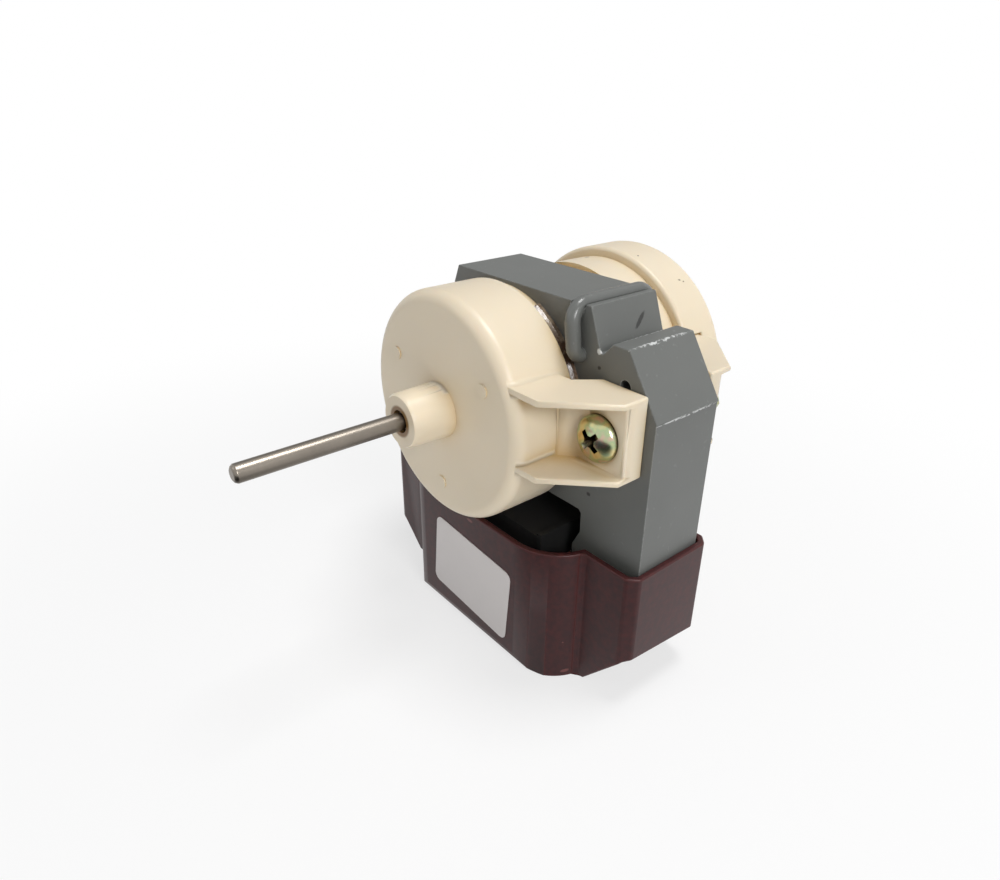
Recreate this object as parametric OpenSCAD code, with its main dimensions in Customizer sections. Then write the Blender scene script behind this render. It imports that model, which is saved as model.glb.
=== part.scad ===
// Freezer fan motor with a C-shaped lamination stack, two plastic bearing housings and a coil case.
// All sizes are in millimetres. X is to the right, the shaft points to -Y, Z is up.
// The origin is on the shaft axis, where the bare shaft leaves the front hub.

/* [Lamination stack] */
// Overall width of the lamination stack
stator_w = 72; // [60:1:84]
// Thickness of the lamination stack, front to back
stack_t = 15.7; // [12:0.2:22]
// Height of the stack's flat top above the shaft axis
stack_top = 20.9; // [20.5:0.1:23]
// Depth of the stack's legs below the shaft axis
leg_drop = 39; // [37:0.5:43]
// Height of the yoke bar that carries the coil
yoke_h = 11; // [10:0.25:11.25]

/* [Shaft and rotor] */
// Shaft diameter, one eighth of an inch
shaft_d = 3.175; // [3:0.005:4]
// Length of bare shaft in front of the hub
shaft_out = 29.4; // [20:0.2:45]
// Rotor diameter
rotor_d = 28; // [26:0.2:28.4]
// Air gap between the rotor and the stack
air_gap = 0.35; // [0.25:0.05:0.5]
// Radial running clearance in both bearings
bearing_play = 0.02; // [0.012:0.002:0.04]

/* [Bearing housings] */
// Outside radius of the front cup
cup_r = 21.1; // [20.9:0.1:21.5]
// Distance from the stack to the front face of a cup
cup_reach = 15.1; // [14.4:0.1:17]
// Gap between a cup's rim and the stack
rim_gap = 2; // [1.4:0.1:2.6]
// Wall thickness of the cups
cup_wall = 1.8; // [1.4:0.1:2.2]
// Length of the front hub in front of the cup
hub_len = 8.2; // [4:0.2:12]
// Radius of the front hub at its root
hub_r = 5.15; // [4.6:0.05:6]
// Diameter of the spherical bearings
ball_d = 9.8; // [9:0.1:10.2]
// Outside radius of the rear cap
cap_r = 23; // [22.8:0.1:24]
// How far the rear cap stands out around the rear cup
cap_side = 1.9; // [1.5:0.1:2.6]
// Distance from the stack to the rear cap's open rim
cap_start = 10.4; // [9:0.2:12]
// Distance from the stack to the rear cap's back
cap_end = 20.9; // [19:0.1:24]

/* [Ears and screws] */
// Distance of the two ear screws from each other
screw_pitch = 56.4; // [55.6:0.2:58]
// Height of the ear screws above the shaft axis
screw_z = 1.9; // [1.2:0.1:2.6]
// Thickness of an ear's floor under the screw head
ear_floor = 4; // [3:0.1:4.6]
// Thread diameter of the ear screws
screw_d = 4; // [3:0.5:4]

/* [Coil and case] */
// Depth of the case's rim below the shaft axis
case_rim = 22.4; // [21:0.2:24]
// Depth of the case's bottom below the shaft axis
case_drop = 50.7; // [49.5:0.1:56]
// Distance of the case's bulge in front of the stack
bulge_out = 10.4; // [9.8:0.1:13]
// Wall thickness of the coil case
case_wall = 1.25; // [1:0.05:1.5]
// Thickness of the wound wire on every side
winding_t = 4.4; // [3.2:0.1:4.6]
// Width of the blank rating label
label_w = 23.4; // [15:0.2:26]
// Height of the blank rating label
label_h = 16.6; // [10:0.2:17]

/* [Shading rings] */
// Thickness of the copper shading rings
ring_d = 2.6; // [2:0.1:2.8]

/* [Hidden] */
$fa = 6;
$fs = 0.35;

half_w = stator_w / 2;
shaft_r = shaft_d / 2;
rotor_r = rotor_d / 2;
bore_r = rotor_r + air_gap;
screw_x = screw_pitch / 2;
screw_r = screw_d / 2;
hole_r = screw_r + 0.15;
// The stack's front face, seen from the origin
stack_y = hub_len + cup_reach;

// Bearing stations, measured outwards from either face of the stack
ball_r = ball_d / 2;
ball_at = cup_reach - 5.9;
ball_half = 3.2;
seat_r = 4.2;
seat_at = ball_at + sqrt(ball_r * ball_r - seat_r * seat_r);
pocket_r = 8;
clip_r = 3.9;
clip_t = 0.5;
clip_at = ball_at - sqrt(ball_r * ball_r - clip_r * clip_r);
boss_r = 9.4;
rear_r = cap_r - cap_side;
spigot_in = 0.9;
spigot_r = cup_r - spigot_in;
plate_at = cup_reach - cup_wall;
hub_bore = 2.05;

// Rotor stations
end_ring = 2.2;
washer_t = 0.5;
washer_r = 3.4;
spacer_r = 3.2;
washer_at = ball_at - ball_half - 0.5 - washer_t;

// Ear outline
ear_x = screw_x + 5.95;
ear_low = -4.3;
ear_high = 9.9;
ear_edge = 2.6;
ear_tip = ear_floor + 1.3;
ear_root = cup_reach - 0.7;
ear_wall = 1.05;
lug_r = 5.2;
pilot_z = 9.9;

// Stack outline
leg_in = half_w - 14.3;
leg_low = half_w - 16;
window_top = 16.5;
yoke_top = leg_drop - yoke_h;

// Coil
tube_t = 1;
flange_t = 1.2;
tape_t = 0.4;
coil_x = leg_low - 1.9 - flange_t;
flange_top = max(cup_r, rear_r) + 0.3;
flange_low = case_drop - case_wall - 0.3;

// Terminals and sticker
tab_w = 4.8;
tab_t = 0.8;
tab_len = 9.5;
tab_drop = 8;
label_x = 2.5;
label_drop = 15;

// Coil case
case_x = half_w + case_wall;
wing_out = 2.7;
wing_fall = 6.1;
wing_low = leg_drop + 11.7;
bulge_flat = half_w - 20.5;
bulge_r = 10.5;
left_flat = bulge_flat - 2.6;
left_r = 6;
left_slant = 38;
flange_front = bulge_out - left_r * (1 - cos(left_slant)) - case_wall / cos(left_slant) - 0.3
    - (coil_x + flange_t - left_flat - left_r * sin(left_slant)) * tan(left_slant);

// Shading rings
ring_r = ring_d / 2;
ring_bend = 3;
ring_lean = 8;
ring_hole = [half_w - 16.7, 12.4];
ring_rise = (stack_top - 0.3 - ring_hole[1]) / cos(ring_lean);
ring_seat = 3.3;
low_hole = [17.2 - half_w, -12.7];
low_rise = window_top + 0.9 + low_hole[1];

module in_stack() { translate([0, stack_y, 0]) children(); }

// Turns a shape so that its height runs forwards from the stack's front face
module forward() { in_stack() rotate([90, 0, 0]) children(); }

// Puts a front piece on the back of the stack, mirrored
module to_back() { translate([0, 2 * stack_y + stack_t, 0]) mirror([0, 1, 0]) children(); }

module both_sides() { children(); mirror([1, 0, 0]) children(); }

module through(x, z, r, y0, y1) {
    translate([x, y0, z]) rotate([-90, 0, 0]) cylinder(r = r, h = y1 - y0);
}

module disc_ring(r0, r1, h0, h1) {
    difference() {
        translate([0, 0, h0]) cylinder(r = r1, h = h1 - h0);
        translate([0, 0, h0 - 1]) cylinder(r = r0, h = h1 - h0 + 2);
    }
}

// Wire loop in the YZ plane: lower run inside the stack, upper run outside it
module wire_loop(r, rise) {
    out = ring_r + 0.2;
    rotate([-90, 0, 0]) cylinder(r = r, h = stack_t);
    for (m = [0, 1]) translate([0, m * stack_t, 0]) mirror([0, m, 0]) {
        translate([0, 0, out]) rotate([0, 90, 0]) rotate([0, 0, -90])
            rotate_extrude(angle = 90) translate([out, 0]) circle(r = r);
        translate([0, -out, out - 0.01]) cylinder(r = r, h = rise - out - ring_bend + 0.02);
        translate([0, ring_bend - out, rise - ring_bend]) rotate([0, 90, 0]) rotate([0, 0, 180])
            rotate_extrude(angle = 90) translate([ring_bend, 0]) circle(r = r);
    }
    translate([0, ring_bend - out - 0.01, rise]) rotate([-90, 0, 0])
        cylinder(r = r, h = stack_t - 2 * (ring_bend - out) + 0.02);
}

module upper_loop(r) {
    in_stack() translate([ring_hole[0], 0, ring_hole[1]]) rotate([0, -ring_lean, 0])
        wire_loop(r, ring_rise);
}

module lower_loop(r) {
    in_stack() translate([low_hole[0], 0, low_hole[1]]) rotate([0, 180, 0])
        wire_loop(r, low_rise);
}

// Grey painted lamination stack: two poles, two legs and the open window between them
module stator_stack() {
    color([0.45, 0.46, 0.45]) difference() {
        in_stack() translate([0, stack_t, 0]) rotate([90, 0, 0]) linear_extrude(stack_t)
            polygon([
                [22.25 - half_w, stack_top], [half_w - 15, stack_top], [half_w - 12.4, 13.9],
                [half_w - 11.8, 13.8], [half_w - 9.9, 16],
                [half_w - 6.5, 16], [half_w + 0.25, 5.7], [half_w, 5.4], [half_w, -leg_drop],
                [leg_low, -leg_drop], [leg_low, -24.4], [leg_in, -21.1],
                [leg_in, -window_top - 0.6], [leg_in - 0.6, -window_top],
                [-leg_in + 0.6, -window_top], [-leg_in, -window_top - 0.6],
                [-leg_in, -21.1], [-leg_low, -24.4], [-leg_low, -leg_drop],
                [-half_w, -leg_drop], [-half_w, 5.4], [-half_w - 0.25, 5.7], [-half_w + 6.5, 11],
                [19.4 - half_w, 13.9]]);
        in_stack() through(0, 0, bore_r, -1, stack_t + 1);
        in_stack() both_sides() through(screw_x, screw_z, hole_r, -1, stack_t + 1);
        in_stack() through(half_w - 6.7, pilot_z, 1.1, -1, stack_t + 1);
        in_stack() translate([-1.1, -1, 12]) cube([2.2, stack_t + 2, stack_top - 14.2]);
        in_stack() translate([half_w - 19.5, -1, stack_top - 0.75])
            cube([ring_seat, stack_t + 2, 2]);
        upper_loop(ring_r);
        lower_loop(ring_r);
    }
}

// Yoke bar pressed between the legs, through the coil
module core_bar() {
    color([0.40, 0.40, 0.39]) in_stack()
        translate([-leg_low, 0, -leg_drop]) cube([2 * leg_low, stack_t, yoke_h]);
}

// Box-shaped sleeve around the yoke bar, at a distance from it
module sleeve(x, gap, t) {
    difference() {
        translate([-x, -gap - t, -leg_drop - gap - t])
            cube([2 * x, stack_t + 2 * (gap + t), yoke_h + 2 * (gap + t)]);
        translate([-x - 1, -gap, -leg_drop - gap])
            cube([2 * x + 2, stack_t + 2 * gap, yoke_h + 2 * gap]);
    }
}

// Moulded bobbin on the yoke bar
module bobbin() {
    color([0.12, 0.12, 0.12]) in_stack() {
        sleeve(coil_x + 0.1, 0, tube_t);
        both_sides() difference() {
            rotate([90, 0, 90]) translate([0, 0, coil_x]) linear_extrude(flange_t)
                polygon([[-flange_front, -flange_top], [stack_t + flange_front, -flange_top],
                    [stack_t + flange_front, 2.4 - flange_low],
                    [stack_t + flange_front - 2.4, -flange_low],
                    [2.4 - flange_front, -flange_low], [-flange_front, 2.4 - flange_low]]);
            translate([coil_x - 1, 0, -leg_drop]) cube([flange_t + 2, stack_t, yoke_h]);
        }
    }
}

// Wound wire on the bobbin
module coil_winding() {
    color([0.55, 0.27, 0.12]) in_stack() sleeve(coil_x, tube_t, winding_t);
}

// Black insulating tape around the wire
module coil_tape() {
    color([0.05, 0.05, 0.05]) in_stack() sleeve(coil_x, tube_t + winding_t, tape_t);
}

// Plan outline of the coil case, moved inwards by w, as points
function bulge_arc(w) = let (stop = asin(-(wing_out - w + bulge_r - bulge_out) / (bulge_r - w)))
    [for (i = [0:24]) let (a = -90 + (stop + 90) * i / 24)
        [bulge_flat + (bulge_r - w) * cos(a), bulge_r - bulge_out + (bulge_r - w) * sin(a)]];
function plan_front(w) = concat(bulge_arc(w),
    [[case_x - 1.75 - w * 0.4, w - wing_out], [case_x - w, w * 0.4 - wing_out + 1.75]]);
function flip(p) = [for (i = [len(p) - 1:-1:0]) [p[i][0], stack_t - p[i][1]]];
function left_arc(w) = [for (i = [0:8]) let (a = left_slant * i / 8)
    [left_flat + (left_r - w) * sin(a), left_r - bulge_out - (left_r - w) * cos(a)]];
function plan_left(w) = let (arc = left_arc(w), end = arc[8])
    concat(arc, [[end[0] + (w - wing_out - end[1]) / tan(left_slant), w - wing_out],
        [case_x - 3.05 - w * 0.29, w - wing_out], [case_x - w, 1.9 - wing_out + w * 0.56]]);
function whole(front) = concat(front, flip(front));
function plan(w) = let (left = whole(plan_left(w)))
    concat(whole(plan_front(w)), [for (i = [len(left) - 1:-1:0]) [-left[i][0], left[i][1]]]);

// Space under the right wing, whose slanted underside drops a little towards the back
module under_wing(w) {
    translate([0, -wing_out, -wing_low]) rotate([-wing_fall, 0, 0])
        translate([0, 60, 0]) rotate([90, 0, 0]) linear_extrude(80)
            polygon([[half_w - 8.6 - w * 0.45, w * 1.1], [half_w + 0.02, 9.9 + w * 1.264],
                [case_x + 2, 12 + w * 1.2], [case_x + 2, -8], [half_w - 16, -8]]);
}

// Block of the case, moved inwards by w: plan, front view and side view intersected
module case_block(w, top) {
    low = -case_drop + w;
    intersection() {
        translate([0, 0, -case_drop - 5]) linear_extrude(case_drop + 5 + top) polygon(plan(w));
        translate([0, 60, 0]) rotate([90, 0, 0]) linear_extrude(120)
            polygon([[-case_x - 1, top + 1], [-case_x - 1, -leg_drop - 5.2 + w],
                [-half_w + 2.4 + w * 0.4, -leg_drop - 5.6 + w],
                [-half_w + 6.2 + w * 0.7, -leg_drop - 9.6 + w * 0.7],
                [-half_w + 8.4 + w * 0.4, low], [case_x + 1, low], [case_x + 1, top + 1]]);
        rotate([90, 0, 90]) translate([0, 0, -60]) linear_extrude(120)
            polygon([[-bulge_out - 1, top + 1], [-bulge_out - 1, low + 4.4 - w * 0.6],
                [-bulge_out + w, low + 2.4 - w * 0.6], [-bulge_out + 0.7 + w, low + 0.7 - w * 0.2],
                [-bulge_out + 2.4 + w * 0.6, low],
                [stack_t + bulge_out - 2.4 - w * 0.6, low],
                [stack_t + bulge_out - 0.7 - w, low + 0.7 - w * 0.2],
                [stack_t + bulge_out - w, low + 2.4 - w * 0.6],
                [stack_t + bulge_out + 1, low + 4.4 - w * 0.6],
                [stack_t + bulge_out + 1, top + 1]]);
    }
}

// Whole form of the case, moved inwards by w
module case_form(w, top) {
    in_stack() difference() {
        case_block(w, top);
        under_wing(w);
    }
}

// Open-topped tub that slides over the legs and covers the coil
module coil_case() {
    color([0.22, 0.13, 0.13]) difference() {
        case_form(0, -case_rim);
        case_form(case_wall, 5);
        terminal_pair();
    }
}

// Two flat tabs through the case's rear wall, in place of the cord
module terminal_pair() {
    for (x = [-8.5, 0.5]) in_stack()
        translate([x - tab_w / 2, stack_t + bulge_out - case_wall - 1, -case_rim - tab_drop])
            cube([tab_w, tab_len, tab_t]);
}

module terminal_tabs() { color([0.75, 0.72, 0.55]) terminal_pair(); }

// Blank sticker with rounded corners, slightly askew
module rating_label() {
    r = 1.6;
    w = label_w;
    h = label_h;
    color([0.78, 0.77, 0.77]) in_stack() translate([label_x, -bulge_out, -case_rim - label_drop])
        rotate([0, 5, 0]) rotate([90, 0, 0]) linear_extrude(0.12) union() {
            square([w - 2 * r, h], center = true);
            square([w, h - 2 * r], center = true);
            for (x = [-1, 1], y = [-1, 1]) translate([x * (w / 2 - r), y * (h / 2 - r)])
                circle(r = r);
        }
}

// Copper rings through the right pole's upper tip and the left pole's lower tip
module shading_ring_upper() { color([0.45, 0.46, 0.45]) upper_loop(ring_r); }
module shading_ring_lower() { color([0.45, 0.46, 0.45]) lower_loop(ring_r); }

// Plan of an ear's floor: thick at the cup and under the screw, thinner at its outer edge
module ear_floor_plan(r, end, edge) {
    polygon([[r - 5.1, -4.6], [r + 0.7, -4.4], [r + 3.6, 0], [end, 0], [end, -edge],
        [end - (ear_floor - edge) / 2, -ear_floor], [r + 3.1, -ear_floor],
        [r + 0.2, -ear_floor - 2.5], [r - 5.1, -ear_floor - 2.5]]);
}

// Rib on an ear, which slants at 45 degrees from the cup to the ear's end
module ear_rib(r, z, tip) {
    translate([0, 0, z]) linear_extrude(ear_wall)
        polygon([[r - 5.1, -4.6], [r + 0.7, -4.4], [r + 3.6, 0], [ear_x, 0], [ear_x, -tip],
            [ear_x + tip - ear_root, -ear_root], [r - 5.1, -ear_root]]);
}

module cup_space(r) {
    forward() translate([0, 0, -1]) cylinder(r = r - cup_wall + 0.5, h = cup_reach + 2);
}

module screw_space() { in_stack() both_sides() through(screw_x, screw_z, hole_r, -cup_reach, 1); }

// Room in front of both ears for a screw's head or nut
module head_space() {
    in_stack() both_sides() through(screw_x, screw_z, screw_d - 0.01, -cup_reach - 1, -ear_floor);
}

// Right ear: a floor between two ribs, open to the front and at its end
module ear(r, low_tip) {
    difference() {
        in_stack() {
            translate([0, 0, ear_low]) linear_extrude(ear_high - ear_low)
                ear_floor_plan(r, ear_x, ear_edge);
            ear_rib(r, ear_high - ear_wall, ear_tip);
            ear_rib(r, ear_low, low_tip);
        }
        cup_space(r);
        screw_space();
    }
}

// Left lug: a flat plate with a round end, which the cup hides in the photo
module lug(r) {
    difference() {
        mirror([1, 0, 0]) in_stack() intersection() {
            translate([0, 0, screw_z - lug_r]) linear_extrude(2 * lug_r)
                ear_floor_plan(r, screw_x + lug_r + 1, ear_floor);
            union() {
                through(screw_x, screw_z, lug_r, -cup_reach, 1);
                translate([0, -cup_reach, screw_z - lug_r]) cube([screw_x, cup_reach + 1, 2 * lug_r]);
            }
        }
        cup_space(r);
        screw_space();
    }
}

// Cup with its spigot and bearing boss, an ear on the right and a lug on the left
module housing(hub, r) {
    e = 2.4;
    inner = r - cup_wall;
    spigot_inner = inner - 0.7;
    color([0.90, 0.86, 0.78]) difference() {
        union() {
            forward() rotate_extrude()
                polygon(concat([[spigot_inner, 0], [r - spigot_in, 0],
                        [r - spigot_in, rim_gap], [r, rim_gap]],
                        [for (a = [0:6:90]) [r - e + e * cos(a), cup_reach - e + e * sin(a)]],
                        [[hub ? hub_bore : 0, cup_reach], [hub ? hub_bore : 0, seat_at + 1.2],
                        [seat_r, seat_at + 1.2], [seat_r, seat_at], [pocket_r, seat_at],
                        [pocket_r, clip_at - clip_t],
                        [boss_r, clip_at - clip_t], [boss_r, plate_at],
                        [inner, plate_at], [inner, rim_gap], [spigot_inner, rim_gap]]));
            if (hub) forward() rotate_extrude()
                polygon([[hub_bore, cup_reach - 0.5], [hub_r, cup_reach - 0.5],
                    [hub_r - 0.25, cup_reach + hub_len - 0.5],
                    [hub_r - 0.6, cup_reach + hub_len], [hub_bore, cup_reach + hub_len]]);
            if (hub) for (a = [31.4, 151.4, 271.4]) forward() rotate([0, 0, a])
                translate([14.6, 0, cup_reach - 0.2]) cylinder(r = 1.2, h = 0.45);
            ear(r, hub ? ear_tip : ear_floor - 0.85);
            lug(r);
        }
        head_space();
    }
}

module front_housing() { housing(true, cup_r); }
module rear_housing() { to_back() housing(false, rear_r); }

// Cap over the end of the rear cup, notched for the ear
module rear_cap() {
    e = 2.2;
    color([0.90, 0.86, 0.78]) to_back() difference() {
        forward() rotate_extrude()
            polygon(concat([[rear_r, cap_start], [cap_r - 0.5, cap_start],
                [cap_r, cap_start + 0.5]],
                [for (a = [0:6:90]) [cap_r - e + e * cos(a), cap_end - e + e * sin(a)]],
                [[0, cap_end], [0, cap_end - cup_wall], [rear_r - 1.2, cap_end - cup_wall],
                [rear_r - 1.2, cup_reach + 0.001], [rear_r, cup_reach + 0.001]]));
        in_stack() translate([rear_r - 4.1, -cup_reach - 0.15, ear_low - 0.15])
            cube([10, cup_reach, ear_high - ear_low + 0.3]);
    }
}

// Brown varnish squeezed out along the front spigot
module varnish_bead() {
    color([0.35, 0.22, 0.12]) forward() rotate([0, 0, 15]) rotate_extrude(angle = 49)
        polygon([[spigot_r, 0], [spigot_r + 0.55, 0], [spigot_r + 0.5, 0.7],
            [spigot_r + 0.25, 1.3], [spigot_r, 1.5]]);
}

// Oil-soaked spherical bearing
module ball_bearing_sleeve() {
    color([0.62, 0.48, 0.28]) forward() difference() {
        intersection() {
            translate([0, 0, ball_at]) sphere(r = ball_r);
            translate([0, 0, ball_at - ball_half]) cylinder(r = ball_r + 1, h = 2 * ball_half);
        }
        translate([0, 0, ball_at - 6]) cylinder(r = shaft_r + bearing_play, h = 12);
    }
}

// Oil felt around the bearing
module felt() {
    color([0.80, 0.75, 0.62]) forward() disc_ring(ball_r + 0.02, pocket_r, clip_at, seat_at);
}

// Spring clip that holds the bearing in its seat
module clip() {
    color([0.70, 0.70, 0.68]) forward() disc_ring(clip_r, pocket_r, clip_at - clip_t, clip_at);
}

module front_bearing() { ball_bearing_sleeve(); }
module rear_bearing() { to_back() ball_bearing_sleeve(); }
module front_felt() { felt(); }
module rear_felt() { to_back() felt(); }
module front_clip() { clip(); }
module rear_clip() { to_back() clip(); }

// Cross-recess pan-head screws through the ears and the stack
module ear_screws() {
    head_r = screw_d * 1.02;
    head_h = screw_d * 0.6;
    k = screw_d / 4;
    color([0.80, 0.70, 0.30]) in_stack() both_sides() translate([screw_x, -ear_floor, screw_z])
        rotate([90, 0, 0]) {
            translate([0, 0, -stack_t - 2 * ear_floor - 4.2])
                cylinder(r = screw_r, h = stack_t + 2 * ear_floor + 4.3);
            difference() {
                rotate_extrude() polygon([[0, 0], [head_r, 0], [head_r, head_h * 0.3],
                    [head_r * 0.93, head_h * 0.62], [head_r * 0.75, head_h * 0.86],
                    [head_r * 0.45, head_h * 0.98], [0, head_h]]);
                rotate([0, 0, 38]) for (a = [0, 90]) rotate([0, 0, a]) translate([0, 0, head_h - 1.5 * k])
                    linear_extrude(3, scale = 2.2) square([2.3 * k, 0.62 * k], center = true);
            }
        }
}

// Hexagon nuts on the rear ears
module ear_nuts() {
    color([0.80, 0.70, 0.30]) in_stack() both_sides()
        translate([screw_x, stack_t + ear_floor, screw_z]) rotate([-90, 0, 0]) difference() {
            cylinder(r = screw_d, h = screw_d * 0.8, $fn = 6);
            translate([0, 0, -1]) cylinder(r = screw_r, h = screw_d + 2);
        }
}

// Steel shaft with a rounded front tip and a shallow oil groove just inside the hub
module shaft() {
    c = 0.6;
    rear = stack_y + stack_t + seat_at + 0.6;
    color([0.72, 0.70, 0.68]) rotate([-90, 0, 0]) rotate_extrude()
        polygon([[0, -shaft_out], [shaft_r - c, -shaft_out],
            [shaft_r - 0.25, 0.2 - shaft_out], [shaft_r, c - shaft_out], [shaft_r, 0],
            [shaft_r - 0.2, 0], [shaft_r - 0.2, 0.8], [shaft_r, 0.8],
            [shaft_r, rear - 0.3], [shaft_r - 0.3, rear], [0, rear]]);
}

// Rotor laminations with round slots for the cage bars
module rotor_core() {
    color([0.50, 0.50, 0.50]) in_stack() difference() {
        through(0, 0, rotor_r, 0, stack_t);
        through(0, 0, shaft_r, -1, stack_t + 1);
        for (i = [0:15]) rotate([0, i * 22.5, 0]) through(rotor_r - 1.7, 0, 1, -1, stack_t + 1);
    }
}

// Cast aluminium cage: bars and two end rings
module rotor_cage() {
    color([0.78, 0.78, 0.78]) in_stack() {
        for (i = [0:15]) rotate([0, i * 22.5, 0])
            through(rotor_r - 1.7, 0, 1, -0.1, stack_t + 0.1);
        for (y = [-end_ring, stack_t]) translate([0, y, 0]) rotate([-90, 0, 0])
            disc_ring(rotor_r - 5, rotor_r - 0.4, 0, end_ring);
    }
}

// Spacers pressed on the shaft at both ends of the rotor
module rotor_spacers() {
    color([0.75, 0.72, 0.55]) {
        forward() disc_ring(shaft_r, spacer_r, 0, washer_at);
        to_back() forward() disc_ring(shaft_r, spacer_r, 0, washer_at);
    }
}

// Thin washers between the spacers and the bearings
module thrust_washers() {
    color([0.85, 0.85, 0.80]) {
        forward() disc_ring(shaft_r, washer_r, washer_at, washer_at + washer_t);
        to_back() forward() disc_ring(shaft_r, washer_r, washer_at, washer_at + washer_t);
    }
}

stator_stack();
core_bar();
bobbin();
coil_winding();
coil_tape();
coil_case();
terminal_tabs();
rating_label();
shading_ring_upper();
shading_ring_lower();
front_housing();
rear_housing();
rear_cap();
varnish_bead();
front_bearing();
rear_bearing();
front_felt();
rear_felt();
front_clip();
rear_clip();
ear_screws();
ear_nuts();
shaft();
rotor_core();
rotor_cage();
rotor_spacers();
thrust_washers();
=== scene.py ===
import math

import bmesh
import bpy
from mathutils import Matrix, Vector


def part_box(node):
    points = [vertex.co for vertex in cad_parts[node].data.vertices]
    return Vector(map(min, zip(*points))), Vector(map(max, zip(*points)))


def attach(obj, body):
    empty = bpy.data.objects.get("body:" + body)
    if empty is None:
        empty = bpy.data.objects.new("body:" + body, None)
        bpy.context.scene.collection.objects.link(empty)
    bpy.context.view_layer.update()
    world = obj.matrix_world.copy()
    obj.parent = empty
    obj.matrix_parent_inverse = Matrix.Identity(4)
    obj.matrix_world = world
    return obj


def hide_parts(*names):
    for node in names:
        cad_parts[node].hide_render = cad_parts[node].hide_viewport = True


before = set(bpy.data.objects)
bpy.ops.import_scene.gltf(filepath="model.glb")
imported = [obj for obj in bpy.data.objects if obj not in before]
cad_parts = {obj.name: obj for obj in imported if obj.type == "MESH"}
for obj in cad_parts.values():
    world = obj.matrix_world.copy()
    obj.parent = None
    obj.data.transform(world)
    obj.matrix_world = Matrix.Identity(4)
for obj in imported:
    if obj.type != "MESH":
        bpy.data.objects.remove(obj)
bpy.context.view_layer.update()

mm = 0.001
scene = bpy.context.scene
scene.view_settings.view_transform = "Standard"

# Camera
# It stands in front of the motor, to the right and above, close enough for strong perspective.
# The eye point and the lens were worked out from the stack's and the cups' outlines.
view_azimuth, view_elevation, view_roll = map(math.radians, (50.03, 26.87, 0.56))
eye_point = Vector((97.61, -59.37, 53.89)) * mm
film_width = 36
focal_share = 0.7309
nearest_seen, furthest_seen = 0.005, 20

back = Vector((math.sin(view_azimuth) * math.cos(view_elevation),
               -math.cos(view_azimuth) * math.cos(view_elevation), math.sin(view_elevation)))
level = Vector((math.cos(view_azimuth), math.sin(view_azimuth), 0))
rise = back.cross(level)
right = level * math.cos(view_roll) + rise * math.sin(view_roll)
up = rise * math.cos(view_roll) - level * math.sin(view_roll)
camera_data = bpy.data.cameras.new("camera")
camera_data.sensor_width = film_width
camera_data.lens = focal_share * film_width
camera_data.clip_start, camera_data.clip_end = nearest_seen, furthest_seen
camera = bpy.data.objects.new("camera", camera_data)
camera_turn = Matrix((right, up, back)).transposed().to_4x4()
camera.matrix_world = Matrix.Translation(eye_point) @ camera_turn
scene.collection.objects.link(camera)
scene.camera = camera

# Floor, backdrop and lamps
# A white sheet lies under the motor. Camera and mirror rays see it brighter than it is lit, and the
# more so the further out, so that it runs into the white room but keeps the motor's soft shadow.
# Mirror rays also meet painted shade on the floor in front, a dark patch that only they see, and a
# dim corner of the room behind.
floor_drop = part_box("coil_case")[0].z
floor_size = 6.0
floor_white = 0.86
glow_near, glow_far = 0.07, 0.22
glow_least = 0.68
patch_place = (0.055, -0.125, floor_drop)
patch_inner, patch_outer = 0.07, 0.16
patch_level, patch_share = 0.025, 0.97
room_color, room_level = (0.97, 0.98, 1.0, 1), 0.27
corner_heading = Vector((-0.77, 0.55, 0.33)).normalized()
corner_start, corner_full = 0.80, 0.93
corner_level = 0.45
lamp_target = Vector((0, 0.02, -0.01))
lamps = [("top_lamp", (0.10, 0.15, 0.80), 0.30, 3.8),
         ("side_lamp", (0.62, -0.15, 0.36), 0.28, 2.3),
         ("front_lamp", (-0.35, -0.60, 0.45), 0.30, 0.35)]


def node_of(tree, kind, **values):
    """A new node, with plain values for its inputs or its settings."""
    made = tree.nodes.new(kind)
    for name, value in values.items():
        if name in made.inputs:
            made.inputs[name].default_value = value
        else:
            setattr(made, name, value)
    return made


def fed(tree, node, *terms):
    """Gives a node's inputs, in their order, a socket to follow or a plain value to hold."""
    for socket, term in zip(node.inputs, terms):
        if isinstance(term, bpy.types.NodeSocket):
            tree.links.new(term, socket)
        else:
            socket.default_value = term
    return node


def math_of(tree, operation, *terms, clamp=False):
    made = node_of(tree, "ShaderNodeMath", operation=operation, use_clamp=clamp)
    return fed(tree, made, *terms).outputs[0]


def vector_of(tree, operation, *terms):
    made = node_of(tree, "ShaderNodeVectorMath", operation=operation)
    plain = operation in ("LENGTH", "DISTANCE", "DOT_PRODUCT")
    return fed(tree, made, *terms).outputs["Value" if plain else "Vector"]


def ramp_of(tree, value, start, stop, bottom=0.0, top=1.0, soft=False):
    """Maps a value from start..stop to bottom..top, eased at both ends where it is soft."""
    easing = "SMOOTHSTEP" if soft else "LINEAR"
    made = node_of(tree, "ShaderNodeMapRange", interpolation_type=easing)
    return fed(tree, made, value, start, stop, bottom, top).outputs[0]


def mix_of(tree, share, first, second):
    return fed(tree, node_of(tree, "ShaderNodeMixShader"), share, first, second).outputs[0]


def own_place(tree):
    return node_of(tree, "ShaderNodeTexCoord").outputs["Object"]


def bright_rays(tree):
    """The Light Path outputs, and 1 for rays that see a white room: camera, mirror and glass."""
    rays = node_of(tree, "ShaderNodeLightPath").outputs
    either = math_of(tree, "ADD", rays["Is Camera Ray"], rays["Is Glossy Ray"])
    return rays, math_of(tree, "ADD", either, rays["Is Transmission Ray"], clamp=True)


def new_material(name, **values):
    material = bpy.data.materials.new(name)
    material.use_nodes = True
    shader = material.node_tree.nodes["Principled BSDF"]
    for socket, value in values.items():
        shader.inputs[socket.replace("_", " ")].default_value = value
    return material, material.node_tree, shader


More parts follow.
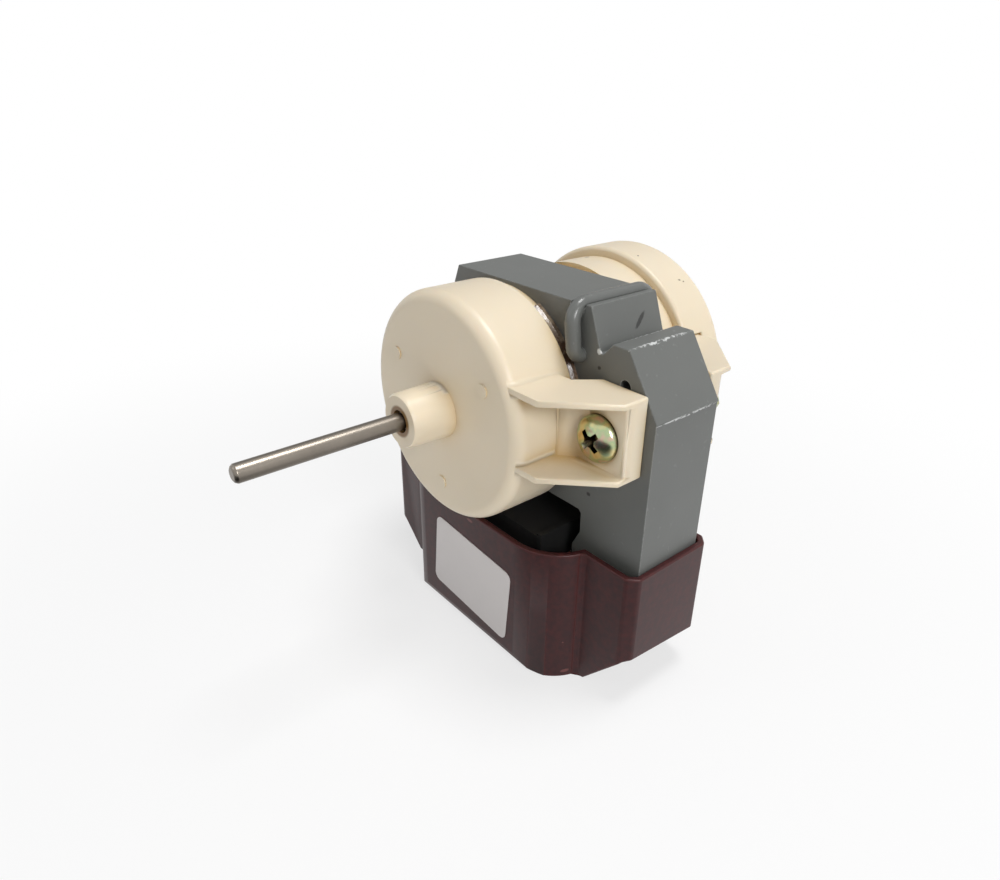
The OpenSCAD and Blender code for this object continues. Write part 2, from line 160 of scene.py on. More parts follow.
def grey(level):
    return (level, level, level, 1)


floor_material, tree, shader = new_material(
    "white_floor", Base_Color=grey(floor_white), Roughness=0.9)
glow = node_of(tree, "ShaderNodeEmission", Color=grey(1.0), Strength=1.0)
patch = node_of(tree, "ShaderNodeEmission", Color=grey(patch_level), Strength=1.0)
rays, seen_white = bright_rays(tree)
place = own_place(tree)
from_motor = vector_of(tree, "LENGTH", place)
glow_share = ramp_of(tree, from_motor, glow_near, glow_far, glow_least, soft=True)
glow_seen = math_of(tree, "MULTIPLY", seen_white, glow_share)
lit = mix_of(tree, glow_seen, shader.outputs[0], glow.outputs[0])
# Painted shade in reflections: mirror rays alone see a dark patch on the floor in front.
from_patch = vector_of(tree, "DISTANCE", place, patch_place)
patch_near = ramp_of(tree, from_patch, patch_outer, patch_inner, 0.0, patch_share, soft=True)
patch_seen = math_of(tree, "MULTIPLY", patch_near, rays["Is Glossy Ray"])
tree.links.new(mix_of(tree, patch_seen, lit, patch.outputs[0]),
               tree.nodes["Material Output"].inputs["Surface"])
mesh = bpy.data.meshes.new("floor")
half = floor_size / 2
mesh.from_pydata([(-half, -half, floor_drop), (half, -half, floor_drop), (half, half, floor_drop),
                  (-half, half, floor_drop)], [], [(0, 1, 2, 3)])
mesh.materials.append(floor_material)
floor = bpy.data.objects.new("floor", mesh)
scene.collection.objects.link(floor)

world = bpy.data.worlds.new("room")
world.use_nodes = True
scene.world = world
tree = world.node_tree
room = tree.nodes["Background"]
room.inputs["Color"].default_value = room_color
room.inputs["Strength"].default_value = room_level
rays, seen_white = bright_rays(tree)
heading = node_of(tree, "ShaderNodeTexCoord").outputs["Generated"]
toward = vector_of(tree, "DOT_PRODUCT", heading, corner_heading)
dimmed = ramp_of(tree, toward, corner_start, corner_full, 1.0, corner_level, soft=True)
white = node_of(tree, "ShaderNodeBackground", Color=grey(1.0))
tree.links.new(math_of(tree, "MAXIMUM", dimmed, rays["Is Camera Ray"]), white.inputs["Strength"])
tree.links.new(mix_of(tree, seen_white, room.outputs[0], white.outputs[0]),
               tree.nodes["World Output"].inputs["Surface"])

for name, stand, size, power in lamps:
    data = bpy.data.lights.new(name, "AREA")
    data.shape, data.size, data.energy = "DISK", size, power
    lamp = bpy.data.objects.new(name, data)
    lamp.location = stand
    lamp.rotation_euler = (Vector(stand) - lamp_target).to_track_quat("Z", "Y").to_euler()
    scene.collection.objects.link(lamp)

# Lamination stack
# Punched steel sheets stacked to a block, stuck and dipped in grey paint as one piece. The paint is
# worn light on the corners, and the sheets show as fine lines on all faces that run front to back.
stack_front, stack_back = (corner.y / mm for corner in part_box("stator_stack"))
least_depth = 12
outline_rounding = 0.16
least_outline = 0.5
stack_roughness = 0.42
# Centre and reach in mm of the bore and the holes whose edges stay sharp.
sharp_holes = [((0, 0), 15.2), ((28.2, 1.9), 2.6), ((-28.2, 1.9), 2.6), ((29.3, 9.9), 1.5),
               ((19.3, 12.4), 2.0), ((-18.8, -12.7), 2.0)]
paint_grey = (0.128, 0.133, 0.126, 1)
paint_worn = (0.30, 0.31, 0.30, 1)
paint_chipped = (0.62, 0.63, 0.62, 1)
paint_scratch = (0.030, 0.030, 0.028, 1)
paint_chips = [((26.15, 31.2, 16.0), (0.32, 7.6, 0.26), (0, 0, 0)),
               ((29.45, 31.2, 15.95), (0.36, 7.6, 0.34), (0, 0, 0)),
               ((23.9, 31.2, 13.85), (0.55, 7.6, 0.26), (0, 0, 0)),
               ((36.2, 31.2, 5.6), (0.26, 7.6, 0.30), (0, 0, 0)),
               ((23.5, 23.4, 14.2), (0.5, 0.5, 0.5), (0, 0, 0))]
stack_marks = [((22.4, 33.7, 17.0), (0.9, 2.1, 0.42), (-40, 0, 0)),
               ((23.75, 23.3, 11.5), (0.35, 0.5, 0.3), (0, 0, 0)),
               ((23.4, 23.3, -12.2), (0.45, 0.5, 0.35), (0, 0, 0))]


def worked_copy(node, name, rounding, steps=3, crease=35):
    """A copy of a CAD piece with merged points and joined flat faces. The function rounding gives
    each edge that is sharper than the crease its radius in mm from its two ends, or 0."""
    same_point, same_face, smooth_up_to = 0.001 * mm, math.radians(0.6), 42
    bm = bmesh.new()
    bm.from_mesh(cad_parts[node].data)
    bmesh.ops.remove_doubles(bm, verts=bm.verts, dist=same_point)
    bmesh.ops.dissolve_limit(bm, angle_limit=same_face, verts=bm.verts, edges=bm.edges)
    weights = bm.edges.layers.float.new("bevel_weight_edge")
    radii = {}
    for line in bm.edges:
        angle = line.calc_face_angle_signed(0) if len(line.link_faces) == 2 else 0
        if abs(angle) > math.radians(crease):
            first, second = (corner.co / mm for corner in line.verts)
            radii[line] = rounding(first, second, angle < 0)
    widest = max(radii.values(), default=0)
    for line, radius in radii.items():
        line[weights] = radius / widest if widest else 0
    mesh = bpy.data.meshes.new(name)
    bm.to_mesh(mesh)
    bm.free()
    draft = bpy.data.objects.new(name + "_draft", mesh)
    scene.collection.objects.link(draft)
    if widest:
        bevel = draft.modifiers.new("rounding", "BEVEL")
        bevel.width = widest * mm
        bevel.segments = steps
        bevel.limit_method = "WEIGHT"
        bevel.use_clamp_overlap = False
    return settled(settled(draft, name, smooth_up_to), name, smooth_up_to, True)


def settled(draft, name, crease, weigh=False):
    """The evaluated mesh of a draft object as a plain object at the origin, smooth up to the crease
    or, where it is weighed, with its normals drawn towards the larger faces."""
    if weigh:
        even = draft.modifiers.new("even", "WEIGHTED_NORMAL")
        even.keep_sharp = True
        even.weight = 100
    evaluated = draft.evaluated_get(bpy.context.evaluated_depsgraph_get())
    mesh = bpy.data.meshes.new_from_object(evaluated)
    bpy.data.objects.remove(draft)
    if not weigh:
        mesh.shade_smooth()
        mesh.set_sharp_from_angle(angle=math.radians(crease))
    made = bpy.data.objects.new(name, mesh)
    scene.collection.objects.link(made)
    return made


def fit_out(piece, body, slot, material, *nodes):
    """Gives a finished piece its material and its body, and hides the CAD nodes it stands for.
    The slot is not used.
    """
    piece.data.materials.clear()
    piece.data.materials.append(material)
    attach(piece, body)
    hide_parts(*nodes)


def group_of(name, inputs, outputs):
    """A shader node group, its input node and its output node, from named inputs and outputs."""
    group = bpy.data.node_groups.new(name, "ShaderNodeTree")
    for label, kind, value in inputs:
        socket = group.interface.new_socket(label, in_out="INPUT", socket_type=kind)
        socket.default_value = value
    for label in outputs:
        group.interface.new_socket(label, in_out="OUTPUT", socket_type="NodeSocketFloat")
    return group, group.nodes.new("NodeGroupInput").outputs, group.nodes.new("NodeGroupOutput")


def noise_of(tree, vector, **values):
    made = node_of(tree, "ShaderNodeTexNoise", **values)
    tree.links.new(vector, made.inputs["Vector"])
    return made


# Mottle: a soft change of tone over the surface, as a factor about 1.
mottle, given, result = group_of(
    "mottle", [("Scale", "NodeSocketFloat", 200.0), ("Amount", "NodeSocketFloat", 0.1)], ["Factor"])
clouds = noise_of(mottle, own_place(mottle), Detail=5.0, Roughness=0.6)
mottle.links.new(given["Scale"], clouds.inputs["Scale"])
spread = math_of(mottle, "SUBTRACT", clouds.outputs[0], 0.5)
fed(mottle, result, math_of(mottle, "MULTIPLY_ADD", spread, given["Amount"], 1.0))

# Edge wear and glow: a ragged mask that is 1 near the edges of a piece and 0 elsewhere. The paint
# of the stack and rings is worn there, and the case is painted a brighter red there for light
# through thin plastic.
edge_wear_and_glow, given, result = group_of(
    "edge_wear_and_glow", [("Radius", "NodeSocketFloat", 0.0003), ("Raggedness", "NodeSocketFloat", 0.5)],
    ["Mask"])
surface = node_of(edge_wear_and_glow, "ShaderNodeNewGeometry")
rounded = node_of(edge_wear_and_glow, "ShaderNodeBevel", samples=6)
edge_wear_and_glow.links.new(given["Radius"], rounded.inputs["Radius"])
ragged = noise_of(edge_wear_and_glow, own_place(edge_wear_and_glow), Scale=900.0, Detail=3.0)
likeness = vector_of(edge_wear_and_glow, "DOT_PRODUCT", rounded.outputs[0], surface.outputs["Normal"])
lifted = math_of(edge_wear_and_glow, "MULTIPLY_ADD", ragged.outputs[0], given["Raggedness"], likeness)
fed(edge_wear_and_glow, result, ramp_of(edge_wear_and_glow, lifted, 1.10, 0.98))

# Mark: a small oval spot, speck or scratch at one place, as a mask with a soft uneven rim.
mark, given, result = group_of(
    "mark", [("Centre", "NodeSocketVector", (0, 0, 0)), ("Turn", "NodeSocketVector", (0, 0, 0)),
             ("Size", "NodeSocketVector", (1, 1, 1))], ["Mask"])
place = own_place(mark)
wobble = noise_of(mark, place, Scale=2200.0, Detail=2.0)
sway = [0.3 * mm] * 3
swayed = vector_of(mark, "MULTIPLY_ADD", wobble.outputs["Color"], sway, place)
shifted = vector_of(mark, "SUBTRACT", swayed, given["Centre"])
turned = node_of(mark, "ShaderNodeVectorRotate", rotation_type="EULER_XYZ")
mark.links.new(shifted, turned.inputs["Vector"])
mark.links.new(given["Turn"], turned.inputs["Rotation"])
stretched = vector_of(mark, "DIVIDE", turned.outputs[0], given["Size"])
fed(mark, result, ramp_of(mark, vector_of(mark, "LENGTH", stretched), 1.15, 0.80))

# Sheet lines: fine uneven stripes front to back, kept off the faces that look forwards or back.
sheet_lines, given, result = group_of(
    "sheet_lines", [("Along", "NodeSocketFloat", 25.0), ("Across", "NodeSocketFloat", 1900.0)],
    ["Height"])
place = node_of(sheet_lines, "ShaderNodeTexCoord")
scales = fed(sheet_lines, node_of(sheet_lines, "ShaderNodeCombineXYZ"),
             given["Along"], given["Across"], given["Along"]).outputs[0]
squeezed = vector_of(sheet_lines, "MULTIPLY", place.outputs["Object"], scales)
stripes = noise_of(sheet_lines, squeezed, Scale=1.0, Detail=2.0, Roughness=0.55)
facing = fed(sheet_lines, node_of(sheet_lines, "ShaderNodeSeparateXYZ"), place.outputs["Normal"])
steepness = math_of(sheet_lines, "ABSOLUTE", facing.outputs["Y"])
side_face = math_of(sheet_lines, "LESS_THAN", steepness, 0.5)
fed(sheet_lines, result, math_of(sheet_lines, "MULTIPLY", stripes.outputs[0], side_face))


def use(tree, group, **values):
    """The one result of a node group in a material, with plain values for its inputs."""
    made = tree.nodes.new("ShaderNodeGroup")
    made.node_tree = group
    for name, value in values.items():
        made.inputs[name].default_value = value
    return made.outputs[0]


def tint(tree, color, factor):
    """Multiplies a plain colour by a factor socket."""
    made = node_of(tree, "ShaderNodeVectorMath", operation="SCALE")
    made.inputs[0].default_value = color[:3]
    tree.links.new(factor, made.inputs["Scale"])
    return made.outputs[0]


def blend_colors(tree, factor, first, second):
    made = node_of(tree, "ShaderNodeMix", data_type="RGBA")
    tree.links.new(factor, made.inputs[0])
    sockets = [socket for socket in made.inputs if socket.type == "RGBA"]
    for socket, color in zip(sockets, (first, second)):
        if isinstance(color, bpy.types.NodeSocket):
            tree.links.new(color, socket)
        else:
            socket.default_value = color
    return [socket for socket in made.outputs if socket.type == "RGBA"][0]


def bumped(tree, shader, height, distance, strength):
    made = node_of(tree, "ShaderNodeBump", Strength=strength, Distance=distance * mm)
    tree.links.new(height, made.inputs["Height"])
    tree.links.new(made.outputs[0], shader.inputs["Normal"])


def marks(tree, places):
    """One mask from several marks, each a centre, a size and a turn, in mm and degrees."""
    total = None
    for centre, size, turn in places:
        spot = use(tree, mark, Centre=Vector(centre) * mm, Size=Vector(size) * mm,
                   Turn=[math.radians(angle) for angle in turn])
        total = spot if total is None else math_of(tree, "MAXIMUM", total, spot)
    return total


def crevices(tree, reach):
    """Ambient occlusion within a reach in mm, 1 in the open and 0 deep in a corner."""
    return node_of(tree, "ShaderNodeAmbientOcclusion", samples=6, Distance=reach * mm).outputs["AO"]


def painted(name, roughness, sheets, places):
    """Grey paint with worn edges, with or without visible sheets, chips and marks."""
    material, tree, shader = new_material(name, Roughness=roughness)
    tone = use(tree, mottle, Scale=70.0, Amount=0.22)
    height = use(tree, mottle, Scale=1500.0, Amount=1.0)
    worn = use(tree, edge_wear_and_glow, Radius=0.35 * mm, Raggedness=0.30)
    color = blend_colors(tree, worn, tint(tree, paint_grey, tone), paint_worn)
    if places:
        flakes = noise_of(tree, own_place(tree), Scale=1300.0, Detail=2.0)
        chosen = ramp_of(tree, flakes.outputs[0], 0.44, 0.50)
        chips = math_of(tree, "MULTIPLY", chosen, marks(tree, paint_chips))
        color = blend_colors(tree, chips, color, paint_chipped)
        color = blend_colors(tree, marks(tree, places), color, paint_scratch)
    tree.links.new(color, shader.inputs["Base Color"])
    if sheets:
        height = math_of(tree, "ADD", use(tree, sheet_lines), height)
    bumped(tree, shader, height, 0.012, 0.6)
    return material


def stack_rounding(first, second, hollow):
    """Rounds the outline and the corners that run front to back, but no bore and no ring hole."""
    for (x, z), radius in sharp_holes:
        if min(math.hypot(end.x - x, end.z - z) for end in (first, second)) < radius:
            return 0
    on_face = min(abs(first.y - y) + abs(second.y - y) for y in (stack_front, stack_back)) < 0.02
    runs_back = abs(first.y - second.y) > least_depth
    long_enough = (first - second).length > least_outline
    return outline_rounding if (on_face or runs_back) and long_enough else 0


stack_paint = painted("stack_paint", stack_roughness, True, stack_marks)
stack = worked_copy("stator_stack", "lamination_stack", stack_rounding, 2)
fit_out(stack, "motor", "grey_paint", stack_paint, "stator_stack")

# Shading rings
# Thick copper wire bent to closed rings through the pole tips and soldered. They were painted
# together with the stack, a little glossier because the paint runs together on the round wire.
ring_roughness = 0.26
ring_paint = painted("ring_paint", ring_roughness, False, [])


def unrounded(first, second, hollow):
    return 0


for node in ("shading_ring_upper", "shading_ring_lower"):
    fit_out(worked_copy(node, node + "_wire", unrounded), "motor", "grey_paint", ring_paint, node)

# Bearing housings and rear cap
# Cream nylon mouldings with soft edges, screwed together through the stack. Their corners are
# painted a warm brown, as shade lit by light that bounces in them. Oil has stained the mouth of the
# hub, and a few specks of dirt sit on the cap.
cream = (0.770, 0.665, 0.500, 1)
cream_corner_shade = (0.600, 0.410, 0.160, 1)
cream_stain = (0.230, 0.120, 0.035, 1)
cream_dirt = (0.100, 0.060, 0.035, 1)
stain_reach, stain_rim = 2.55 * mm, 0.55 * mm
corner_reach = 5.5
cap_specks = [((-3.4, 47.7, 20.8), (0.45, 0.6, 0.45), (0, 0, 0)),
              ((6.1, 51.8, 22.2), (0.22, 0.3, 0.3), (0, 0, 0)),
              ((13.6, 55.2, 18.5), (0.30, 0.5, 0.3), (0, 0, 30)),
              ((14.1, 56.0, 18.2), (0.25, 0.3, 0.25), (0, 0, 0)),
              ((13.0, 54.2, 18.9), (0.15, 0.2, 0.2), (0, 0, 0))]
clear_of_cup, ear_edge, least_ear_edge = 21.4, 0.40, 1.5
clear_of_cap, cap_edge, least_cap_edge = 21.9, 0.30, 0.8

cream_plastic, tree, shader = new_material(
    "cream_plastic", Roughness=0.36, Subsurface_Weight=0.15, Subsurface_Scale=1.5 * mm)
shader.inputs["Subsurface Radius"].default_value = (1.0, 0.7, 0.4)
tone = use(tree, mottle, Scale=60.0, Amount=0.06)
from_axis = vector_of(tree, "LENGTH", vector_of(tree, "MULTIPLY", own_place(tree), (1, 0, 1)))
stain = ramp_of(tree, from_axis, stain_reach + stain_rim, stain_reach, soft=True)
# Painted shade: deep corners are blended towards a warm brown.
painted_corner_shade = ramp_of(tree, crevices(tree, corner_reach), 0.72, 0.32, 0.0, 0.95)
color = blend_colors(tree, painted_corner_shade, tint(tree, cream, tone), cream_corner_shade)
color = blend_colors(tree, stain, color, cream_stain)
color = blend_colors(tree, marks(tree, cap_specks), color, cream_dirt)
tree.links.new(color, shader.inputs["Base Color"])
bumped(tree, shader, use(tree, mottle, Scale=900.0, Amount=1.0), 0.010, 0.5)


def rounded_outside(clearance, radius, least):
    """Rounds the long outer edges that stand clear of the shaft axis."""
    def rounding(first, second, hollow):
        clear = min(math.hypot(end.x, end.z) for end in (first, second)) > clearance
        return radius if clear and not hollow and (first - second).length > least else 0
    return rounding


ear_rounding = rounded_outside(clear_of_cup, ear_edge, least_ear_edge)
cap_rounding = rounded_outside(clear_of_cap, cap_edge, least_cap_edge)
for node, name, rounding in (("front_housing", "front_bearing_cup", ear_rounding),
                             ("rear_housing", "rear_bearing_cup", ear_rounding),
                             ("rear_cap", "rear_end_cap", cap_rounding)):
    fit_out(worked_copy(node, name, rounding), "motor", "cream_plastic", cream_plastic, node)

# Coil case
# A dark red tub in satin plastic that is pushed up over the legs and hides the coil. Its edges are
# painted a brighter red for the light that thin plastic lets through, and the mould left two small
# gate marks in front.
case_red = (0.040, 0.013, 0.014, 1)
case_edge_glow = (0.085, 0.017, 0.016, 1)
case_gate = (0.170, 0.060, 0.055, 1)
case_marks = [((25.0, 18.6, -49.3), (0.8, 0.9, 0.35), (0, 20, 0)),
              ((24.5, 18.3, -42.2), (0.18, 0.4, 0.3), (0, 0, 0)),
              ((2.6, 12.9, -24.0), (0.9, 0.5, 0.35), (0, 0, 0))]
case_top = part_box("coil_case")[1].z / mm
case_hollow, hollow_rounding = 25.6, 0.9
corner_rounding, rim_rounding = 0.5, 0.35
least_upright, least_rim, least_case_edge = 10, 0.3, 0.8

case_plastic, tree, shader = new_material("case_plastic", Roughness=0.36, Specular_IOR_Level=0.28)
tone = use(tree, mottle, Scale=45.0, Amount=0.20)
# Painted light: near the edges the red turns brighter, as if lit through thin plastic.
edge = use(tree, edge_wear_and_glow, Radius=0.9 * mm, Raggedness=0.16)
color = blend_colors(tree, edge, tint(tree, case_red, tone), case_edge_glow)
color = blend_colors(tree, marks(tree, case_marks), color, case_gate)
tree.links.new(color, shader.inputs["Base Color"])
bumped(tree, shader, use(tree, mottle, Scale=240.0, Amount=1.0), 0.02, 0.4)


def case_rounding(first, second, hollow):
    """Rounds the corners and the rim a little, and the hollow corners beside the bulge more."""
    upright = abs(first.z - second.z) > least_upright
    if hollow:
        return hollow_rounding if upright and abs(first.x - case_hollow) < 0.6 else 0
    if upright:
        return corner_rounding
    at_rim = min(first.z, second.z) > case_top - 0.1
    least = least_rim if at_rim else least_case_edge
    return rim_rounding if (first - second).length > least else 0


case = worked_copy("coil_case", "coil_case_tub", case_rounding, 4, 24)
fit_out(case, "motor", "maroon_plastic", case_plastic, "coil_case")

# Sticker
# Plain blank paper with a satin face, cut with rounded corners. Its own glue holds it on the front
# of the case, a little askew.
sticker_white = (0.70, 0.665, 0.65, 1)


def dress(node, material):
    """Gives a CAD piece that is shown as it is its material."""
    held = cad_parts[node].data.materials
    held.clear()
    held.append(material)


sticker_paper, tree, shader = new_material("sticker_paper", Roughness=0.5)
tone = use(tree, mottle, Scale=120.0, Amount=0.08)
tree.links.new(tint(tree, sticker_white, tone), shader.inputs["Base Color"])
dress("rating_label", sticker_paper)

# Shaft
# Ground steel with a rounded tip, pressed into the rotor. Fine turning lines run around it, and oil
# leaves a brownish film on it.
steel = (0.24, 0.212, 0.180, 1)
line_scales = (60, 2600, 60)
shaft_steel, tree, shader = new_material("shaft_steel", Metallic=1.0)
squeezed = vector_of(tree, "MULTIPLY", own_place(tree), line_scales)
rings = noise_of(tree, squeezed, Scale=1.0, Detail=3.0)
tree.links.new(ramp_of(tree, rings.outputs[0], 0.0, 1.0, 0.26, 0.38), shader.inputs["Roughness"])
tone = use(tree, mottle, Scale=160.0, Amount=0.5)
tree.links.new(tint(tree, steel, tone), shader.inputs["Base Color"])
bumped(tree, shader, rings.outputs[0], 0.004, 0.15)
fit_out(worked_copy("shaft", "fan_shaft", unrounded), "rotor", "shaft_steel", shaft_steel, "shaft")

# Ear screws and nuts
# Pan-head screws with a cross recess, yellow zinc plated, so that their colour drifts from gold to
# green and violet. Hexagon nuts of the same finish hold them at the back.
low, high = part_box("ear_screws")
head_r = (high.z - low.z) / 2
screw_pitch = high.x - low.x - 2 * head_r
screw_z = (high.z + low.z) / 2
screw_len = high.y - low.y
head_h = 2.4 * mm
dome_share = 0.78
shank_r = 2.0 * mm
tip_bevel = 0.4 * mm
recess_turn, left_screw_turn = 44, 33
wing_size, well_size = (5.0, 1.05, 1.9), (2.2, 2.2, 2.1)
nut_low, nut_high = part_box("ear_nuts")
nut_h = nut_high.y - nut_low.y
nut_r = (nut_high.x - nut_low.x - screw_pitch) / 2
nut_cone_h, nut_cone_r = nut_h - 0.55 * mm, nut_r - 0.75 * mm
zinc_bands = [(0.34, (0.62, 0.42, 0.16, 1)), (0.44, (0.70, 0.60, 0.30, 1)),
              (0.53, (0.42, 0.52, 0.30, 1)), (0.60, (0.62, 0.44, 0.34, 1)),
              (0.68, (0.45, 0.60, 0.50, 1))]
zinc_shade_and_dirt = (0.018, 0.012, 0.008, 1)

zinc, tree, shader = new_material("yellow_zinc", Metallic=1.0, Roughness=0.20)
drift = noise_of(tree, own_place(tree), Scale=260.0, Detail=2.0)
bands = fed(tree, node_of(tree, "ShaderNodeValToRGB"), drift.outputs[0])
for position, color in zinc_bands:
    bands.color_ramp.elements.new(position).color = color
# Painted shade and oily dirt: the cross recess and other hollows are darkened nearly to black.
recess_shade_and_dirt = ramp_of(tree, crevices(tree, 1.1), 0.92, 0.66)
plated = blend_colors(tree, recess_shade_and_dirt, bands.outputs[0], zinc_shade_and_dirt)
tree.links.new(plated, shader.inputs["Base Color"])


def closed_piece(name, bm):
    """A closed mesh as an object, with its faces turned outwards."""
    bmesh.ops.recalc_face_normals(bm, faces=bm.faces)
    mesh = bpy.data.meshes.new(name)
    bm.to_mesh(mesh)
    bm.free()
    made = bpy.data.objects.new(name, mesh)
    scene.collection.objects.link(made)
    return made


def turned_piece(name, profile, count=48):
    """A solid of revolution about the Y axis from pairs of radius and y, both ends on the axis."""
    bm = bmesh.new()
    angles = [2 * math.pi * i / count for i in range(count)]
    hoops = []
    for radius, y in profile:
        if radius:
            points = [(radius * math.cos(a), y, radius * math.sin(a)) for a in angles]
            hoops.append([bm.verts.new(point) for point in points])
        else:
            hoops.append([bm.verts.new((0, y, 0))] * count)
    for one, two in zip(hoops, hoops[1:]):
        for i in range(count):
            j = (i + 1) % count
            corners = [one[i], one[j], two[j], two[i]]
            bm.faces.new([c for k, c in enumerate(corners) if c not in corners[:k]])
    return closed_piece(name, bm)


def wedge(name, size, turn):
    """A block that gets smaller inwards, as the tip of a screwdriver, to be cut out of a head. The
    size is its length, width and depth in mm."""
    long, wide, deep = (length * mm for length in size)
    above, tip_share, width_kept = 0.5 * mm, 0.42, 0.6
    about_axis = Matrix.Rotation(math.radians(turn), 3, "Y")
    bm = bmesh.new()
    corners = []
    for share, y in ((1.0, -above), (tip_share, deep)):
        narrow = width_kept + (1 - width_kept) * share
        for sx, sz in ((-1, -1), (1, -1), (1, 1), (-1, 1)):
            corner = Vector((sx * long / 2 * share, y, sz * wide / 2 * narrow))
            corners.append(bm.verts.new(about_axis @ corner))
    faces = ((0, 1, 2, 3), (7, 6, 5, 4), (0, 4, 5, 1), (1, 5, 6, 2), (2, 6, 7, 3), (3, 7, 4, 0))
    for face in faces:
        bm.faces.new([corners[i] for i in face])
    return closed_piece(name, bm)


def cut(draft, tools, operation="DIFFERENCE"):
    for tool in tools:
        step = draft.modifiers.new(tool.name, "BOOLEAN")
        step.operation, step.solver, step.object = operation, "EXACT", tool
    done = settled(draft, draft.name + "_cut", 40)
    for tool in tools:
        bpy.data.objects.remove(tool)
    return done


# Pair: sets one mesh at both ends of a pitch, as geometry nodes. The first stands on the right, and
# the one on the left is turned about its own axis.
pair = bpy.data.node_groups.new("pair", "GeometryNodeTree")
pair.interface.new_socket("Geometry", in_out="INPUT", socket_type="NodeSocketGeometry")
pair_inputs = {}
for label, kind in (("Pitch", "NodeSocketFloat"), ("Place", "NodeSocketVector"),
                    ("Turn", "NodeSocketFloat"), ("Material", "NodeSocketMaterial")):
    socket = pair.interface.new_socket(label, in_out="INPUT", socket_type=kind)
    pair_inputs[label] = socket.identifier
pair.interface.new_socket("Geometry", in_out="OUTPUT", socket_type="NodeSocketGeometry")
given, result = pair.nodes.new("NodeGroupInput").outputs, pair.nodes.new("NodeGroupOutput")
aside = fed(pair, node_of(pair, "ShaderNodeCombineXYZ"), given["Pitch"]).outputs[0]
right_end = vector_of(pair, "MULTIPLY_ADD", aside, (0.5, 0.5, 0.5), given["Place"])
left_end = vector_of(pair, "MULTIPLY_ADD", aside, (-0.5, -0.5, -0.5), given["Place"])
ends = node_of(pair, "GeometryNodeMeshLine", mode="END_POINTS")
ends.inputs["Count"].default_value = 2
pair.links.new(right_end, ends.inputs["Start Location"])
pair.links.new(left_end, ends.inputs["Offset"])
number = node_of(pair, "GeometryNodeInputIndex").outputs[0]
own_turn = math_of(pair, "MULTIPLY", number, given["Turn"])
placed = node_of(pair, "GeometryNodeInstanceOnPoints")
pair.links.new(ends.outputs[0], placed.inputs["Points"])
pair.links.new(given["Geometry"], placed.inputs["Instance"])
pair.links.new(fed(pair, node_of(pair, "ShaderNodeCombineXYZ"), 0.0, own_turn).outputs[0],
               placed.inputs["Rotation"])
real = fed(pair, node_of(pair, "GeometryNodeRealizeInstances"), placed.outputs[0])
clad = node_of(pair, "GeometryNodeSetMaterial")
pair.links.new(real.outputs[0], clad.inputs["Geometry"])
pair.links.new(given["Material"], clad.inputs["Material"])
fed(pair, result, clad.outputs[0])


def paired(draft, name, y, turn, material):
    """Two of a draft piece as one plain mesh, on the ear screws' pitch and with heads at y."""
    step = draft.modifiers.new("pair", "NODES")
    step.node_group = pair
    for label, value in (("Pitch", screw_pitch), ("Place", (0, y, screw_z)),
                         ("Turn", math.radians(turn)), ("Material", material)):
        step[pair_inputs[label]] = value
    return settled(draft, name, 40)


slopes = [math.radians(angle) for angle in range(0, 91, 9)]
dome = [(head_r * math.sin(slope), head_h * dome_share * (1 - math.cos(slope))) for slope in slopes]
shank = [(head_r, head_h), (shank_r, head_h), (shank_r, screw_len - tip_bevel),
         (shank_r - tip_bevel, screw_len), (0, screw_len)]
recess = [wedge("wing_a", wing_size, recess_turn), wedge("wing_b", wing_size, recess_turn + 90),
          wedge("well", well_size, recess_turn + 45)]
screw = cut(turned_piece("one_screw", dome + shank), recess)
fit_out(paired(screw, "cross_screws", low.y, left_screw_turn, zinc), "motor", "yellow_zinc", zinc,
        "ear_screws")

hexagon = turned_piece("one_nut", [(0, 0), (nut_r, 0), (nut_r, nut_h), (0, nut_h)], 6)
cone = turned_piece("nut_cone", [(0, 0), (nut_r, 0), (nut_r, nut_cone_h), (nut_cone_r, nut_h),
                                 (0, nut_h)])
hole = turned_piece("nut_hole", [(0, -nut_h), (shank_r, -nut_h), (shank_r, 2 * nut_h),
                                 (0, 2 * nut_h)], 32)
nut = cut(cut(hexagon, [cone], "INTERSECT"), [hole])
fit_out(paired(nut, "hex_nuts", nut_low.y, 0, zinc), "motor", "yellow_zinc", zinc, "ear_nuts")

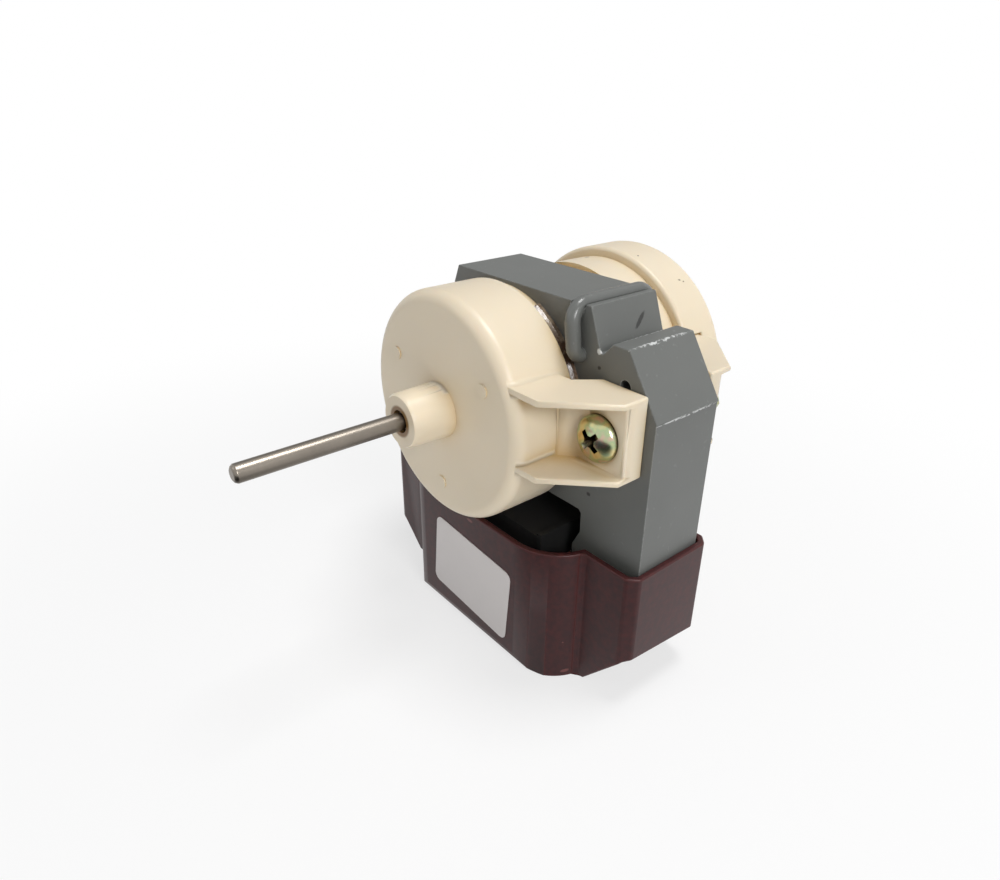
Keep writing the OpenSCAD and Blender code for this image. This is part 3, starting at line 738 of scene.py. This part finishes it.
# Varnish
# Brown varnish, brushed on to seal the front cup to the stack. It set in a glossy uneven bead along
# the cup's spigot.
varnish_brown, varnish_pale = (0.095, 0.050, 0.028, 1), (0.330, 0.250, 0.170, 1)
varnish, tree, shader = new_material("clear_varnish", Roughness=0.12, Coat_Weight=0.4)
lumps = use(tree, mottle, Scale=420.0, Amount=1.6)
cloudy = ramp_of(tree, lumps, 0.85, 1.15)
tree.links.new(blend_colors(tree, cloudy, varnish_brown, varnish_pale), shader.inputs["Base Color"])
bumped(tree, shader, lumps, 0.25, 0.8)
dress("varnish_bead", varnish)

# Coil, bobbin and small inner parts
# Enamelled wire wound on a black bobbin under black tape, with a bar of bare sheets through it, and
# two brass terminals. Inside the cups are bronze bearings, felts, spring clips and the cast rotor.
# Each row gives the nodes, a finish and its colour, roughness, metal share, grain and grain depth.
inner_finishes = [
    (("core_bar", "rotor_core"), "bare_sheet_steel", (0.32, 0.32, 0.31), 0.35, 1, 900, 0.01),
    (("bobbin", "coil_tape"), "black_insulation", (0.012, 0.012, 0.012), 0.5, 0, 500, 0.03),
    (("coil_winding",), "enamelled_wire", (0.40, 0.13, 0.05), 0.3, 0.4, 1200, 0.05),
    (("terminal_tabs", "rotor_spacers"), "plain_brass", (0.62, 0.48, 0.22), 0.3, 1, 700, 0.01),
    (("front_bearing", "rear_bearing"), "bronze", (0.40, 0.25, 0.10), 0.4, 1, 1500, 0.01),
    (("front_felt", "rear_felt"), "felt_fibre", (0.55, 0.48, 0.34), 0.9, 0, 2500, 0.1),
    (("front_clip", "rear_clip"), "spring_steel", (0.45, 0.45, 0.44), 0.3, 1, 700, 0.01),
    (("rotor_cage",), "cast_aluminium", (0.60, 0.60, 0.60), 0.45, 1, 800, 0.03),
    (("thrust_washers",), "washer_nylon", (0.75, 0.73, 0.66), 0.4, 0, 600, 0.01)]
for nodes, name, color, roughness, metallic, grain, depth in inner_finishes:
    material, tree, shader = new_material(name, Roughness=roughness, Metallic=metallic)
    tone = use(tree, mottle, Scale=grain, Amount=0.3)
    tree.links.new(tint(tree, color, tone), shader.inputs["Base Color"])
    bumped(tree, shader, tone, depth, 0.6)
    for node in nodes:
        dress(node, material)
